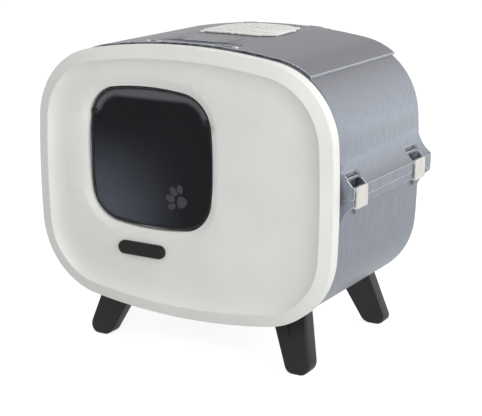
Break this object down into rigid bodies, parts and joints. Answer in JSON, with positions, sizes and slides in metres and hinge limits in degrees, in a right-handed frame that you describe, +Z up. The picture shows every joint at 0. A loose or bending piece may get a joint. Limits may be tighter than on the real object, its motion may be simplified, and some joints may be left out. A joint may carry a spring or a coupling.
{
  "type": "covered litter box",
  "caption": "Covered litter box with a screen-shaped front, swinging flap door, hinged top lid with lift handle and filter vent, latched hood and pan, on splayed legs.",
  "frame": {"origin": "middle of the bounding box at floor level", "axes": "+X to the viewer's right facing the doorway, +Y to the back, +Z up"},
  "size_m": [0.535, 0.33, 0.4738],
  "materials": {
    "panel_white": "satin warm white moulding",
    "shell_grey": "metallic blue-grey with a fine vertical grain",
    "flap_smoke": "smoked clear sheet",
    "grip_black": "satin black",
    "leg_black": "fine-textured black",
    "latch_cream": "satin cream",
    "vent_white": "off-white moulding",
    "filter_foam": "pale open filter foam",
    "steel": "plated"
  },
  "bodies": {
    "box": {"front_panel": "panel_white", "pull_grip": "grip_black", "hood": "shell_grey", "pan": "shell_grey", "grip_screw_left": "steel", "grip_screw_right": "steel", "flap_pin_left": "steel", "flap_pin_right": "steel", "lid_pin_left": "steel", "lid_pin_right": "steel", "latch_pin_front_left": "steel", "latch_pin_front_right": "steel", "latch_pin_rear_left": "steel", "latch_pin_rear_right": "steel", "panel_screw_upper_side_left": "steel", "panel_screw_upper_side_right": "steel", "panel_screw_upper_end_left": "steel", "panel_screw_upper_end_right": "steel", "panel_screw_lower_side_left": "steel", "panel_screw_lower_side_right": "steel", "panel_screw_lower_end_left": "steel", "panel_screw_lower_end_right": "steel", "leg_front_left": "leg_black", "leg_front_right": "leg_black", "leg_rear_left": "leg_black", "leg_rear_right": "leg_black", "leg_screw_front_left": "steel", "leg_screw_front_right": "steel", "leg_screw_rear_left": "steel", "leg_screw_rear_right": "steel"},
    "flap": {"flap_door": "flap_smoke"},
    "lid": {"top_lid": "shell_grey", "filter_pad": "filter_foam", "handle_pin_left": "steel", "handle_pin_right": "steel"},
    "handle": {"lift_handle": "shell_grey"},
    "vent": {"vent_cover": "vent_white"},
    "latch_front_left_body": {"latch_front_left": "latch_cream"},
    "latch_front_right_body": {"latch_front_right": "latch_cream"},
    "latch_rear_left_body": {"latch_rear_left": "latch_cream"},
    "latch_rear_right_body": {"latch_rear_right": "latch_cream"}
  },
  "joints": [
    {"name": "flap_swing", "type": "hinge", "parent": "box", "child": "flap", "pos_m": [-0.056, -0.143, 0.361], "axis": [1, 0, 0], "range_deg": [-75, 75]},
    {"name": "lid_hinge", "type": "hinge", "parent": "box", "child": "lid", "pos_m": [0, 0.1525, 0.461], "axis": [-1, 0, 0], "range_deg": [0, 95]},
    {"name": "handle_hinge", "type": "hinge", "parent": "lid", "child": "handle", "pos_m": [0, -0.119, 0.466], "axis": [1, 0, 0], "range_deg": [0, 90]},
    {"name": "vent_lift", "type": "slide", "parent": "lid", "child": "vent", "axis": [0, 0, 1], "range_m": [0, 0.06]},
    {"name": "latch_front_left_hinge", "type": "hinge", "parent": "box", "child": "latch_front_left_body", "pos_m": [-0.2575, -0.1055, 0.283], "axis": [0, 1, 0], "range_deg": [0, 100]},
    {"name": "latch_front_right_hinge", "type": "hinge", "parent": "box", "child": "latch_front_right_body", "pos_m": [0.2575, -0.1055, 0.283], "axis": [0, -1, 0], "range_deg": [0, 100]},
    {"name": "latch_rear_left_hinge", "type": "hinge", "parent": "box", "child": "latch_rear_left_body", "pos_m": [-0.2575, 0.093, 0.283], "axis": [0, 1, 0], "range_deg": [0, 100]},
    {"name": "latch_rear_right_hinge", "type": "hinge", "parent": "box", "child": "latch_rear_right_body", "pos_m": [0.2575, 0.093, 0.283], "axis": [0, -1, 0], "range_deg": [0, 100]}
  ]
}
